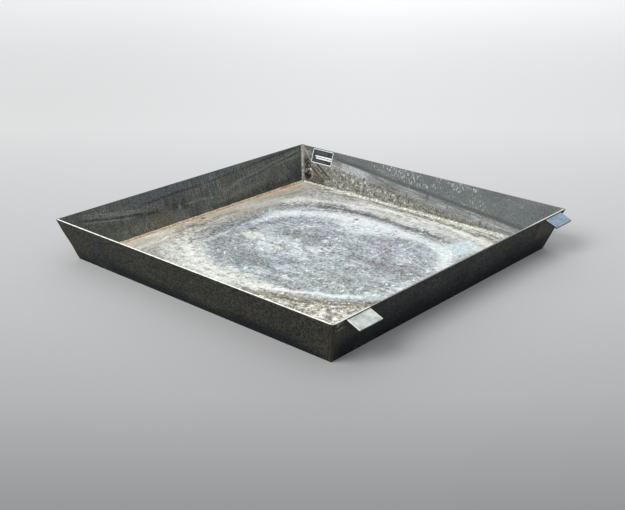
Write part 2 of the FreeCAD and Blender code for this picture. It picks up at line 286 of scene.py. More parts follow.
# Thin arcs: centre, radius, left end, front end, back end, half width, tone and strength.
# Two are pale scrapes, then come the puddle's dark edge and the outermost tide line.
THIN_ARCS = (
    ((0.415, -0.457), 0.3, 0.1, -0.42, -0.25, 0.004, "#ecf0f0", 0.6),
    ((0.127, -0.164), 0.259, 0.2, -0.41, -0.18, 0.004, "#ecf0f0", 0.5),
    ((-0.178, -0.095), 0.625, 0.26, 0.14, 0.33, 0.0075, "#545a5c", 0.9),
    ((-0.163, -0.073), 0.679, 0.4, -0.32, 0.26, 0.009, "#eeeeea", 0.8),
)
# Rust spots: place and radius.
RUST_SPOTS = (((-0.262, -0.17), 0.01), ((0.345, 0.096), 0.013), ((0.318, 0.089), 0.007),
              ((-0.02, 0.535), 0.014), ((0.47, -0.19), 0.006))


class FloorPaint(Paint):
    """The floor's paint, with its place as it is (raw) and wavering, and its noises."""

    def __init__(self):
        super().__init__("oxidised_floor", specular=0.25)
        self.raw_x, self.raw_y, self.raw_z = self.parts(self.spot)
        shifted = self.vector("ADD", self.spot, (3.71, 1.93, 0.47))
        self.mottle = self.noise(shifted, 48, 8, 0.82)
        self.patches = self.noise(shifted, 7.5, 7, 0.66, 0.4)
        self.fine = self.noise(shifted, 115, 3, 0.8)
        self.wiped = self.noise(self.stretched(shifted, (52, 11, 20)), 1, 6, 0.72, 0.6)
        warped = self.vector("ADD", self.vector("ADD", self.spot, self.drift(3.2, 0.1)),
                             self.drift(15, 0.045))
        self.x, self.y = self.parts(warped)[:2]
        lengthwise = self.stretched(self.vector("ADD", warped, (2.3, 4.1, 0)), (5, 26, 1))
        self.strokes = self.noise(lengthwise, 1.6, 7, 0.66, 0.4)
        self.ragged = self.mottle.sway(0.26)
        self.blend = self.mottle * 0.6 + self.patches * 0.4
        self.puddle = self.oval((0.05, -0.03), (0.355, 0.475), 2.7) + self.ragged
        round_puddle = self.join(self.puddle * 12, (self.x - self.y) * 2.4)
        self.ringed = self.noise(round_puddle, 1.5, 7, 0.68)

    def oval(self, centre, half, power=2):
        """Distance from a rounded outline's centre, 1 on the outline."""
        across = abs((self.x - centre[0]) / half[0]) ** power
        along = abs((self.y - centre[1]) / half[1]) ** power
        return (across + along) ** (1 / power)


def floor_paint():
    """Steel plate under dried deposit, with dark mill scale and rust underneath."""
    paint = FloorPaint()
    lay_open_floor(paint)
    lay_puddle(paint)
    lay_tide_marks(paint)
    lay_corner_scale(paint)
    lay_flecks(paint)
    lay_thin_arcs(paint)
    lay_wall_feet(paint)
    scale = paint.patches.ramp((0.35, "#2c2c2c"), (0.55, "#3e3934"), (0.7, "#68462e"))
    paint.lay(paint.raw_z.step(THICK * 0.5, THICK * 0.4), scale)
    return paint.finish(paint.mottle.step(0.3, 0.7, 0.62, 0.85),
                        paint.mottle * 0.8 + paint.fine * 0.4, 0.6 * MM)


def lay_open_floor(paint):
    """Deposit outside the puddle, streaked at the foot of the back wall."""
    outer = (paint.ringed * 0.6 + paint.blend * 0.4).ramp(
        (0.4, "#a6a5a1"), (0.47, "#bebebb"), (0.53, "#d1d1ce"), (0.6, "#eaebe9"))
    streaky = paint.strokes.ramp((0.34, "#908f89"), (0.46, "#b6b4ad"), (0.56, "#cbcac4"),
                                 (0.68, "#e6e5df"))
    paint.colour = paint.mix(paint.raw_y.step(0.4, 0.49), outer, streaky)
    far_right = paint.x.step(0.485, 0.52) * paint.raw_y.step(0.5, 0.4)
    paint.lay(far_right * paint.ringed.step(0.6, 0.44) * 0.85, "#a8a49a")


def lay_puddle(paint):
    """The puddle: bluish grey under white bloom, with a lilac cast at the back right."""
    round_puddle = paint.join(paint.puddle * 8, (paint.raw_x - paint.raw_y) * 3.2)
    swirl = paint.noise(round_puddle, 1.3, 6, 0.64, 0.3)
    smeared = paint.blend * 0.4 + paint.wiped * 0.25 + swirl * 0.35
    middle = smeared.ramp((0.39, "#969b9d"), (0.457, "#b2b6b8"), (0.523, "#c6cacc"), (0.6, "#e6eaeb"))
    lilac = paint.patches.step(0.42, 0.56) * paint.x.step(0.06, 0.14) * paint.y.step(0.05, 0.25)
    middle = paint.mix(lilac * 0.45, middle, "#b0b2bc")
    paint.lay(paint.puddle.step(1.04, 0.88), middle)
    for centre, half, tone, strength in FLOOR_PATCHES:
        spread = paint.oval(centre, half) + paint.ragged * 2
        paint.lay(spread.step(1.25, 0.35) * paint.mottle.step(0.34, 0.5) * strength, tone)


def lay_tide_marks(paint):
    """The puddle's edge: white within it on the right, a dark ring, then pale bands, and
    shorter marks at its back and left."""
    x, y, raw_y, puddle, mottle = paint.x, paint.y, paint.raw_y, paint.puddle, paint.mottle
    lay = paint.lay
    to_right = x.step(0.04, 0.24)
    smooth = mottle.step(0.22, 0.46)
    lay(puddle.band(0.85, 0.14) * to_right * smooth * 0.85, "#e2e6e7")
    lay(y.band(0.405, 0.05) * x.step(-0.29, -0.2) * x.step(0.2, 0.06) * paint.strokes.step(0.4, 0.52)
        * 0.75, "#8a8e8d")
    lay(y.band(0.35, 0.016) * x.step(-0.27, -0.22) * x.step(0, -0.08) * smooth * 0.6, "#d6d9d7")
    lay(puddle.band(1, 0.07) * y.step(0.24, 0.36) * mottle.step(0.36, 0.5) * 0.3, "#969a9a")
    lay(puddle.band(1.03, 0.062) * to_right * raw_y.step(-0.32, -0.22) * raw_y.step(0.4, 0.26, 0.3, 1)
        * paint.ringed.step(0.34, 0.5) * 0.95, "#6e7376")
    lay(puddle.band(1.17, 0.09) * to_right * smooth * 0.8, "#e0e3e3")
    lay(puddle.band(1.28, 0.055) * to_right * raw_y.step(0.28, 0.14) * smooth * 0.85, "#ecece7")
    lay(puddle.band(1.12, 0.26) * x.step(-0.1, -0.22) * y.step(-0.14, -0.03) * raw_y.step(0.49, 0.42)
        * mottle.step(0.38, 0.52) * 0.7, "#e8eae5")


def lay_corner_scale(paint):
    """Speckled scale in the front left corner, beyond a pale and a brown tide mark."""
    reach = paint.oval((0.05, 0.15), (0.461, 0.671))
    corner = paint.raw_x.step(-0.1, -0.2) * paint.y.step(0.05, -0.12)
    speckle = paint.mottle.ramp((0.38, "#7e7564"), (0.45, "#b0aca0"), (0.52, "#cdccc5"), (0.6, "#f2f2ee"))
    paint.lay(reach.step(0.95, 1) * corner, speckle)
    along_mark = paint.join(reach * 26, (paint.raw_x - paint.raw_y) * 4)
    fibrous = paint.noise(along_mark, 1.3, 5, 0.6).ramp(
        (0.36, "#7a7464"), (0.5, "#a09a8b"), (0.62, "#cecbbe"))
    paint.lay(abs(reach - 0.985).step(0.04, 0.022) * corner * 0.92, fibrous)
    paint.lay(reach.band(0.885, 0.045) * corner * paint.mottle.step(0.36, 0.5) * 0.8, "#ecf0ee")


def lay_flecks(paint):
    """White flecks, thickest at the puddle's middle, dark pits and the finest grain."""
    bloom = paint.noise(paint.spot, 62, 6, 0.7)
    crumbs = paint.oval((0.09, 0.005), (0.06, 0.07)).step(1.2, 0.3, 0, 0.07)
    flecks = (bloom + crumbs).step(0.56, 0.64) * (paint.patches + crumbs).step(0.36, 0.58)
    paint.lay(flecks * 0.75, "#fafafa")
    pits = bloom.step(0.44, 0.36) * paint.patches.step(0.66, 0.46)
    paint.lay(pits * 0.35, "#6d7070")
    paint.grit(1, paint.fine, (0.37, 88), (0.63, 177))


def lay_thin_arcs(paint):
    gently = paint.vector("ADD", paint.stretched(paint.spot, (1, 1, 0)), paint.drift(20, 0.022))
    x, y = paint.parts(gently)[:2]
    for centre, radius, left, low, high, width, tone, strength in THIN_ARCS:
        arc = paint.away(gently, (*centre, 0)).band(radius, width) * x.step(left, left + 0.02)
        arc *= y.within(low, high, 0.03) * paint.mottle.step(0.36, 0.52)
        paint.lay(arc * strength, tone)


def lay_wall_feet(paint):
    """Dull and bleached steel and rusty beige at the foot of the back wall, cream deposit
    along the right seam, and a few rust spots."""
    raw_x, raw_y, mottle, patches = paint.raw_x, paint.raw_y, paint.mottle, paint.patches
    lay = paint.lay
    lay(raw_y.step(0.42, 0.47) * raw_x.step(-0.1, 0.02) * 0.5, "#9c978c")
    lay(raw_y.step(0.44, 0.48) * raw_x.step(-0.16, -0.24) * 0.35, "#dedbce")
    from_back = FOOT - raw_y + paint.strokes.sway(0.07)
    lay(from_back.step(0.055, 0.015) * mottle.step(0.36, 0.5) * 0.35, "#d0c3aa")
    lay(from_back.step(0.022, 0.008) * patches.step(0.36, 0.5) * raw_x.step(0.1, 0.5, 0.25, 1)
        * 0.7, "#c49868")
    from_right = FOOT - raw_x + paint.ragged * 0.15
    lay(from_right.step(0.012, 0.007) * patches.step(0.38, 0.5) * raw_y.step(0.48, 0.3) * 0.8, "#e8e6da")
    drifting = paint.vector("ADD", paint.spot, paint.drift(60, 0.012))
    for place, size in RUST_SPOTS:
        away = paint.away(drifting, (*place, THICK))
        lay(away.step(size, size * 0.35) * 0.85, "#704632")


# ---------- walls' materials
# Tone of each rim edge, worn steel with a painted highlight that is strongest on the left, and of its
# brightest stretches.
RIM_WEAR_AND_HIGHLIGHT_TONES = {"front": "#929288", "left": "#ecece4", "back": "#62625a", "right": "#7a7d78"}
RIM_HIGHLIGHT = "#d0d3cc"
PALE = "#969895"
DARK = "#2e3133"
# Marks on the inner faces, in millimetres: two ends as places along and up the wall, half
# width, strength and tone. Places run with the wall's own X.
WALL_MARKS = {
    "back": (
        ((540, 130), (200, 77), 2.8, 0.9, PALE), ((550, 120), (240, 74), 2.8, 0.6, DARK),
        ((550, 112), (260, 70), 2.5, 0.8, PALE), ((550, 140), (240, 90), 3, 0.8, PALE),
        ((340, 86), (160, 64), 10, 0.65, DARK), ((280, 109), (-60, 118), 4.5, 0.65, DARK),
        ((-40, 117), (-600, 146), 4, 0.55, DARK), ((-100, 64), (-600, 136), 5.5, 0.8, PALE),
        ((-160, 86), (-600, 110), 2.4, 0.8, PALE), ((-380, 100), (-600, 122), 5, 0.8, PALE),
        ((-60, 28), (-340, 60), 6, 0.7, "#8e8676"), ((100, 66), (-100, 60), 5, 0.6, PALE),
        ((-200, 78), (-600, 128), 4.5, 0.7, DARK), ((-240, 30), (-520, 22), 14, 0.6, DARK),
    ),
    "left": (
        ((500, 120), (-100, 70), 6, 0.4, PALE), ((550, 104), (-550, 116), 5, 0.6, DARK),
        ((200, 50), (-500, 100), 8, 0.3, PALE),
    ),
    "front": (
        ((-550, 130), (100, 76), 6, 0.4, PALE), ((-550, 98), (550, 118), 5, 0.6, DARK),
        ((-200, 40), (500, 92), 8, 0.3, PALE),
    ),
    "right": (
        ((590, 130), (400, 26), 14, 0.6, "#5c584c"), ((612, 158), (536, 93), 4.5, 1, "#a8a8a0"),
        ((572, 112), (430, 40), 3.2, 1, "#bab9b0"), ((566, 97), (436, 27), 2.6, 1, "#acaa9e"),
        ((540, 108), (400, 44), 2.4, 0.8, "#acaea8"), ((540, 104), (410, 36), 3.4, 0.8, DARK),
        ((240, 104), (60, 56), 4.5, 0.75, "#585850"), ((210, 84), (80, 48), 3, 0.6, "#54544c"),
        ((240, 66), (-100, 34), 4, 0.5, "#54544e"),
    ),
}
# Pale lines down the shaded walls: place along the wall, low end and high end.
PALE_LINES = ((-0.108, 0.07, 0.142), (-0.04, 0.092, 0.13), (-0.086, 0.066, 0.084), (0.03, 0.1, 0.14))
# Two ends of the tide line that slants across the drain wall, and dark dots near it:
# place along, place up and radius.
TIDE_LINE = ((0.43, 0.122), (-0.46, 0.042))
DARK_DOTS = ((-0.054, 0.066, 0.008), (-0.15, 0.05, 0.004), (-0.25, 0.048, 0.003),
             (-0.3, 0.027, 0.007), (-0.328, 0.022, 0.006), (0.04, 0.056, 0.004))


class WallPaint(Paint):
    """A wall's paint, with its noises and its place along (u), up (v) and into (w) the
    plate; ends is the distance from the nearer corner line."""

    def __init__(self, side):
        super().__init__(f"{side}_wall_steel", specular=0.2)
        self.side = side
        self.place, self.u, self.v, self.w = self.local(wall_frame(side))
        shifted = self.vector("ADD", self.place, (3.1 * WALL_TURNS[side] / 90, 1.7, 0))
        self.grain = self.noise(shifted, 60, 7, 0.72)
        self.fine = self.noise(shifted, 150, 3, 0.8)
        self.blotch = self.noise(self.stretched(shifted, (5, 9, 5)), 1, 6, 0.62, 0.4)
        self.drips = self.noise(self.stretched(shifted, (115, 70, 5)), 1, 4, 0.75)
        self.brush = self.noise(self.stretched(shifted, (120, 16, 5)), 1, 4, 0.72)
        self.ends = FOOT - abs(self.u) + self.v * sin(LEAN)

    def above(self, line, shift):
        """Height over the straight line through two (u, v) points, shifted by a noise."""
        (start_u, start_v), (end_u, end_v) = line
        rate = (end_v - start_v) / (end_u - start_u)
        return self.v + shift - (self.u * rate + (start_v - rate * start_u))


def wall_paint(side):
    """Weathered plate: streaked and splashed inside, near black outside, worn rim."""
    paint = WallPaint(side)
    lay_inner_face(paint)
    inner = paint.colour
    lay_outer_face(paint)
    paint.colour = paint.mix(paint.w.step(THICK * 0.45, THICK * 0.55), inner, paint.colour)
    lay_rim(paint)
    return paint.finish(paint.grain.step(0.3, 0.7, 0.55, 0.8),
                        paint.grain * 0.6 + paint.fine * 0.4, 0.35 * MM)


def lay_inner_face(paint):
    """Stains and marks under grit; the drain wall has less grit above its tide line."""
    if paint.side == "right":
        lay_drain_wall(paint)
        contrast = paint.above(TIDE_LINE, 0).step(-0.055, -0.025, 1, 0.6)
    else:
        lay_shaded_wall(paint)
        contrast = 0.85
    lay_marks(paint)
    paint.grit(contrast, paint.fine, (0.36, 76), (0.64, 184))
    frayed = paint.ends + paint.grain.sway(0.014)
    beside_welds = frayed.step(0.0125, 0.006) * paint.fine.step(0.34, 0.46)
    paint.lay(beside_welds * 0.75, "#96958d")


def lay_marks(paint):
    """The wall's own straight streaks, with ragged edges."""
    waver = paint.blotch.sway(0.016)
    broken = paint.grain.step(0.34, 0.52)
    for *line, width, strength, tone in WALL_MARKS[paint.side]:
        start, end = ((u * MM, v * MM) for u, v in line)
        left, right = sorted((start[0], end[0]))
        mark = paint.above((start, end), waver).band(0, width * 1.8 * MM) * broken
        mark *= paint.u.within(left, right, min(0.06, (right - left) / 3))
        paint.lay(mark * strength, tone)


def lay_shaded_wall(paint):
    """Shaded wall: bluish above a tide line, brushed grey below, ochre stains."""
    u, v, grain, blotch, brush = paint.u, paint.v, paint.grain, paint.blotch, paint.brush
    lay = paint.lay
    paint.colour = blotch.ramp((0.3, "#626460"), (0.5, "#70726d"), (0.7, "#80817a"))
    bluish = paint.above(((0.3, 0.108), (-0.6, 0.146)), 0).step(-0.003, 0.006)
    lay(bluish * u.step(0.36, 0.26) * u.step(-0.42, -0.1, 0.3, 1) * 0.8, "#6c757a")
    ochre = u.band(0.2, 0.12) * v.band(0.034, 0.036) * grain.step(0.32, 0.5)
    ribbon = (u + grain.sway(0.03)).band(-0.138, 0.017) * v.band(0.1, 0.05)
    lay(paint.calc("MAXIMUM", ochre, ribbon) * 0.65, "#7e745e")
    lay(u.step(0.1, 0.3) * v.step(0.06, 0.02) * blotch.step(0.36, 0.5) * 0.5, "#868274")
    # A dark blot, with a dark run above it and a pale drip in it.
    lay(u.band(0.092, 0.075) * v.band(0.064, 0.026) * grain.step(0.66, 0.5) * 0.95, "#303440")
    lay(u.band(0.15, 0.02) * v.band(0.09, 0.028) * 0.6, "#3c4048")
    lay(u.band(0.098, 0.01) * v.band(0.062, 0.024) * 0.8, "#a0a6b2")
    for place, low, high in PALE_LINES:
        lay(u.band(place, 0.0035) * v.within(low, high, 0.01) * 0.7, "#acb0ac")
    lay(brush.step(0.54, 0.64) * blotch.step(0.42, 0.58) * 0.65, "#9ea2a0")
    lay(brush.step(0.48, 0.37) * 0.6, "#3e403f")
    # Darker along the foot, in the middle of the right half and in the left corner.
    lay(v.step(0.04, 0.008) * u.step(0.14, 0.02) * blotch.step(0.6, 0.44) * 0.45, "#3c3c3a")
    lay(u.band(0.37, 0.2) * v.band(0.07, 0.045) * 0.3, "#464846")
    lay(u.step(-0.44, -0.54) * v.step(0.1, 0.03) * 0.7, "#363b44")


def lay_drain_wall(paint):
    """Speckled zinc above a slanting tide line, a pale smear below it, grime lowest."""
    u, v, grain, blotch, drips = paint.u, paint.v, paint.grain, paint.blotch, paint.drips
    lay = paint.lay
    paint.colour = blotch.ramp((0.3, "#636969"), (0.6, "#737a79"), (0.8, "#7e8584"))
    clusters = u.band(-0.05, 0.6) * blotch.step(0.46, 0.58) * v.step(0.04, 0.1)
    lay((drips + clusters * 0.13).step(0.66, 0.695) * 0.85, "#c8cfcd")
    lay(drips.step(0.42, 0.34) * 0.28, "#585e5e")
    # The smear, brighter in one splash, and the grime under it.
    waver = blotch.sway(0.012)
    over_tide = paint.above(TIDE_LINE, waver)
    sweep = paint.noise(paint.join(u * 9, over_tide * 130), 1, 5, 0.68, 0.6)
    smear = sweep.ramp((0.34, "#707270"), (0.48, "#8b8d8b"), (0.64, "#aeb0ae"))
    splash = u.step(0.22, 0.27) * u.step(0.385, 0.365) * grain.step(0.36, 0.5)
    smear = paint.mix(splash * 0.85, smear, "#bec1c2")
    grime = grain.ramp((0.38, "#66655c"), (0.46, "#929189"), (0.54, "#acaca4"), (0.63, "#d6d6cf"))
    olive = u.step(0.05, -0.1) * drips.step(0.6, 0.46)
    grime = paint.mix(olive * 0.6, grime, "#747566")
    smear_low = paint.above(((0.24, 0.071), (-0.36, 0.012)), waver + grain.sway(0.05))
    lower = paint.mix(smear_low.step(-0.004, 0.008), grime, smear)
    lay(over_tide.step(0.003, -0.006), lower)
    # A dark band just above the tide line is painted shade.
    lay(over_tide.band(0.005, 0.012) * u.step(0.45, 0.4) * 0.75, "#545758")
    flattened = paint.stretched(paint.place, (1, 0.6, 0))
    for middle_u, middle_v, reach in DARK_DOTS:
        away = paint.away(flattened, (middle_u, middle_v * 0.6, 0))
        lay(away.step(reach * 1.5, reach * 0.4) * grain.step(0.36, 0.5) * 0.7, "#464748")
    # Brown grime round the drain, a dim end and soot beside the corner.
    brown = grain.ramp((0.38, "#4a4434"), (0.55, "#706a58"), (0.68, "#969280"))
    lay(u.step(0.41, 0.47) * (v + waver).step(0.105, 0.06) * 0.85, brown)
    lay(u.step(0.47, 0.53) * v.step(0.04, 0.08) * grain.step(0.62, 0.44) * 0.55, "#4e504e")
    lay(u.step(0.522, 0.548) * v.band(0.082, 0.042) * grain.step(0.66, 0.5) * 0.85, "#28251d")
    # Pale deposit that climbs unevenly from the floor seam.
    seam = (v - (blotch * 0.036 - 0.013)).step(0.006, -0.002)
    lay(seam * grain.step(0.36, 0.44) * u.step(0.46, 0.2, 0.15, 1) * 0.9, "#deded6")


def lay_outer_face(paint):
    """Dark scale, darkened further by painted shade, with bluish black painted shade along the foot and
    browned beside the corner welds.
    """
    u, v, grain, blotch, brush = paint.u, paint.v, paint.grain, paint.blotch, paint.brush
    lay = paint.lay
    # The left and back walls get darker steel and a lower band of painted foot shade than the front and
    # right walls.
    brown, depth = "#494a48", 0.125
    if paint.side in ("left", "back"):
        brown, depth = "#403f39", 0.06
    paint.colour = blotch.ramp((0.3, shaded(brown, 0.84)), (0.7, brown))
    low = v + blotch.sway(0.07)
    # Painted shade: bluish black along the foot, broken by the grain.
    lay(low.step(depth, depth * 0.15) * grain.step(0.8, 0.54), "#11191e")
    lay(u.band(-0.42, 0.065) * brush.step(0.34, 0.5) * 0.65, "#32393a")
    # Scuffs, pocks and grit.
    lay(grain.step(0.54, 0.68) * blotch.step(0.4, 0.6) * 0.4, "#5e5a52")
    lay(grain.step(0.47, 0.38) * blotch.step(0.62, 0.42) * 0.55, "#16191c")
    paint.grit(1, paint.fine, (0.38, 46), (0.62, 206))
    lay(paint.ends.step(0.034, 0.014) * brush.step(0.35, 0.6) * 0.25, "#504c3c")
    # Painted shade: a near black strip at the toes of the outer corner welds.
    lay(paint.ends.step(0.012, 0.006) * 0.7, "#1a1a17")
    if paint.side == "front":
        # Browned steel past the right tab, behind a dark line, and olive steel with worn
        # flecks by the left corner.
        edge = u + blotch.sway(0.02)
        high = v.step(0.05, 0.085)
        lay(edge.step(0.45, 0.462) * high * blotch.step(0.36, 0.56) * 0.55, "#58544c")
        lay(edge.band(0.446, 0.006) * 0.5, "#1a1c1e")
        lay(edge.step(-0.45, -0.52) * high * blotch.step(0.3, 0.5) * 0.35, "#423f34")
        lay(u.step(-0.52, -0.55) * v.step(0.08, 0.11) * grain.step(0.57, 0.62) * 0.8, "#a09e94")


def lay_rim(paint):
    """Rim edge, worn and with a painted highlight that differs per side, brightest towards the front
    wall's two ends.
    """
    wear_and_highlight = paint.v + paint.grain.sway(0.006)
    rim = wear_and_highlight.step(SLANT - 0.0026, SLANT - 0.0008) * paint.w.step(THICK * 0.95, THICK * 0.7)
    tone = RIM_WEAR_AND_HIGHLIGHT_TONES[paint.side]
    edge = paint.grain.ramp((0.38, shaded(tone, 0.8)), (0.55, tone))
    # The front rim is brightened towards both ends with painted highlight.
    if paint.side == "front":
        left_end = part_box("lifting_tab_left")[1].x
        edge = paint.mix(paint.u.step(0.3, 0.46), edge, RIM_HIGHLIGHT)
        edge = paint.mix(paint.u.step(left_end + 0.004, left_end - 0.004), edge, RIM_HIGHLIGHT)
    paint.lay(rim, edge)


# ---------- small parts' materials
def weld_paint(name, colours, rust, rust_from=-1):
    """Weld metal between two colours with rust in patches, more of it past one place."""
    paint = Paint(name, specular=0.35)
    grain = paint.noise(paint.spot, 120, 6, 0.65)
    patches = paint.noise(paint.spot, 22, 5, 0.6)
    paint.colour = grain.ramp((0.35, colours[0]), (0.62, colours[1]))
    paint.grit(0.6, paint.noise(paint.spot, 420, 3, 0.6), (0.36, 84), (0.64, 176))
    rusty = patches.step(0.62 - rust * 0.4, 0.76 - rust * 0.4)
    rusty *= paint.parts(paint.spot)[0].step(rust_from, rust_from + 0.4, 0.25, 1)
    paint.lay(rusty * 0.8, "#9e6c3e")
    return paint.finish(grain.step(0.3, 0.7, 0.45, 0.75), grain, 0.25 * MM)


def tab_paint(side, tone, wear_and_highlight):
    """Pale bright bar on top with a painted highlight, partly wear, along its edges, and painted shade on
    the cut sides.
    """
    paint = Paint(f"tab_steel_{side}", specular=0.4)
    place, u, _, w = paint.local(tab_frame(side))
    brushed = paint.noise(paint.stretched(place, (30, 300, 30)), 1, 5, 0.6)
    blotch = paint.noise(place, 30, 5, 0.55)
    paint.colour = blotch.ramp((0.35, shaded(tone, 0.86)), (0.65, tone))
    paint.grit(0.75, brushed, (0.34, 86), (0.66, 172))
    low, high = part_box(f"lifting_tab_{side}")
    half = (high.x - low.x) / 2
    # Painted highlight, partly wear, along the bar's left and right edges.
    paint.lay(abs(u).step(half - 0.004, half - 0.0015) * wear_and_highlight, "#eceeec")
    # Painted shade: the cut sides under the top face are near black.
    paint.lay(w.step(-0.0006, -0.0014), "#141618")
    rough = paint.noise(place, 90, 6, 0.65).step(0.3, 0.7, 0.35, 0.6)
    return paint.finish(rough, brushed, 0.1 * MM)


def fitting_paint(name, colours, metallic):
    """Turned steel with grime and a little rust, and painted shade deep in the bore with paler patches on
    one side.
    """
    paint = Paint(name, metallic=metallic, specular=0.5)
    grain = paint.noise(paint.spot, 160, 6, 0.65)
    patches = paint.noise(paint.spot, 70, 5, 0.6)
    paint.colour = patches.ramp((0.35, colours[0]), (0.6, colours[1]))
    paint.lay(patches.step(0.6, 0.72) * 0.6, "#6e4e32")
    _, side, up, level = paint.local(drain_frame())
    radius = (side ** 2 + up ** 2) ** 0.5
    # Painted shade deep in the bore, with paler patches on one side of it.
    bore_shade = level.step(-0.006, -0.012) * radius.step(0.019, 0.017)
    paint.lay(bore_shade * 0.9, "#1a1611")
    paint.lay(bore_shade * side.step(-0.0005, -0.005) * patches.step(0.4, 0.52) * 0.75, "#bab4a6")
    return paint.finish(grain.step(0.3, 0.7, 0.3, 0.55), grain, 0.1 * MM)


LABEL_HEIGHT = 0.058
LABEL_FIELD = (-0.95, 0.95, 0.06, 0.95)
# Rectangles on the label as left, right, bottom and top shares of its size, with tones.
LABEL_PANELS = ((LABEL_FIELD, "#1c2126"),
                ((-0.7, 0.45, 0.68, 0.86), "#323c46"),
                ((-0.92, -0.74, 0.3, 0.52), "#3c444b"),
                ((-0.68, 0.93, 0.46, 0.56), "#e2e6e3"),
                ((-0.58, 0.93, 0.32, 0.42), "#e2e6e3"),
                ((-0.8, 0.3, 0.12, 0.24), "#3e403e"))


def label_paint():
    """Foil label: pale border, dark panels and two pale bars, with no lettering."""
    paint = Paint("label_foil", specular=0.5)
    place, u, v, _ = paint.local(wall_frame("right"))
    low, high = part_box("data_label")
    half = (high.y - low.y) / 2
    across = (low.y + high.y) / 2 - u
    bottom = SLANT - 0.0035 - LABEL_HEIGHT
    soft = 0.0004

    def panel(left, right, under, over):
        return across.within(half * left - soft, half * right + soft, 2 * soft) * v.within(
            bottom + LABEL_HEIGHT * under - soft, bottom + LABEL_HEIGHT * over + soft, 2 * soft)

    grain = paint.noise(place, 130, 5, 0.6)
    paint.colour = grain.ramp((0.3, "#c4c8c8"), (0.7, "#e8ebea"))
    for box, ink in LABEL_PANELS:
        paint.lay(panel(*box), ink)
    smudges = paint.noise(paint.stretched(place, (190, 110, 60)), 1, 4, 0.6)
    paint.lay(smudges.step(0.56, 0.66) * panel(*LABEL_FIELD) * 0.5, "#808c94")
    paint.lay(grain.step(0.5, 0.75) * 0.25, "#96968c")
    return paint.finish(0.4, grain, 0.05 * MM)


# ---------- mesh helpers
def add_to_scene(name, data):
    made = bpy.data.objects.new(name, data)
    bpy.context.scene.collection.objects.link(made)
    return made


def mesh_from(build, name, material):
    mesh = bpy.data.meshes.new(name)
    build.to_mesh(mesh)
    build.free()
    mesh.materials.append(material)
    return mesh


def add_object(name, build, material, body, node=None):
    """Makes a smooth mesh object that rides on a body, and may replace a CAD node."""
    bmesh.ops.recalc_face_normals(build, faces=build.faces)
    made = add_to_scene(name, mesh_from(build, name, material))
    for face in made.data.polygons:
        face.use_smooth = True
    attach(made, body)
    if node:
        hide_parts(node)
    return made


def loft(rows, path_closed=False, build=None):
    """Closed skin through rings of points; the two end rings are filled."""
    build = bmesh.new() if build is None else build
    rings = [[build.verts.new(point) for point in row] for row in rows]
    count = len(rings[0])
    spans = len(rings) if path_closed else len(rings) - 1
    for i in range(spans):
        here, there = rings[i], rings[(i + 1) % len(rings)]
        for j in range(count):
            k = (j + 1) % count
            build.faces.new((here[j], here[k], there[k], there[j]))
    if not path_closed:
        build.faces.new(rings[0])
        build.faces.new(rings[-1])
    return build


def ripple(phase):
    """Height of one weld ripple, from 0 to 1: a steep back and a gentle front."""
    share = phase % 1
    return 1 - abs(1 - 2 * share ** 0.7)


def bead(stations, toe_a, toe_b, crown, pitch, height, seed, closed=False, across=9):
    """Rippled weld bead. Each station is the joint line's point and the frame that turns
    the two toes and the crown direction of the section into place."""
    chance = random.Random(seed)
    phases = [chance.uniform(0, tau) for _ in range(4)]
    spacing = (stations[1][0] - stations[0][0]).length
    rows = []
    out = ((toe_a + toe_b) / 2).normalized()
    for i, (point, turn) in enumerate(stations):
        along = i * spacing
        loop = tau * i / len(stations)
        sway = 0.5 * sin(2 * loop + phases[0]) if closed else sin(along / 0.011 + phases[0])
        swell = 0.5 * sin(3 * loop + phases[1]) if closed else sin(along / 0.017 + phases[1])
        row = [point]
        for j in range(across):
            share = j / (across - 1)
            arch = sin(pi * share)
            lag = 1.2 * (1 - arch)
            lift = crown * arch * (1 + 0.12 * swell)
            lift += height * arch ** 0.6 * ripple(along / pitch + lag + phases[2])
            flat = toe_a * (1 - share) * (1 + 0.08 * sway) + toe_b * share * (1 - 0.08 * sway)
            row.append(point + turn @ (flat + out * lift))
        rows.append(row)
    return loft(rows, closed)


def straight_stations(start, end, spacing, turn):
    count = max(8, int((end - start).length / spacing))
    return [(start.lerp(end, i / count), turn) for i in range(count + 1)]


# ---------- welds
def add_bead(name, build, metal, node):
    add_object(name, build, metal, "pan", node)


def add_corner_welds(inner_metal, outer_metal):
    length = SLANT * sqrt(1 + sin(LEAN) ** 2)
    for index, corner in enumerate(CORNER_TURNS):
        place = corner_frame(corner)
        turn = place.to_3x3()

        def point(height):
            return place @ Vector((0, 0, height))

        leg = 5.4 * MM
        toe = Vector((-leg * sin(HALF_TURN), leg * cos(HALF_TURN), 0))
        stations = straight_stations(point(10 * MM), point(length - 3 * MM), 0.5 * MM, turn)
        build = bead(stations, toe, Vector((toe.x, -toe.y, 0)), 0.9 * MM, 4.2 * MM, 0.9 * MM, 40 + index)
        add_bead(f"inner_bead_{corner}", build, inner_metal, f"inner_corner_weld_{corner}")
        lap = 5 * MM
        toe = Vector((THICK * cos(HALF_TURN) - lap * sin(HALF_TURN),
                      THICK * sin(HALF_TURN) + lap * cos(HALF_TURN), 0))
        stations = straight_stations(point(2.2 * MM), point(length - 0.4 * MM), 0.5 * MM, turn)
        build = bead(stations, toe, Vector((toe.x, -toe.y, 0)), 5.4 * MM, 3.6 * MM,
                     0.45 * MM, 60 + index, across=13)
        add_bead(f"outer_bead_{corner}", build, outer_metal, f"outer_corner_weld_{corner}")


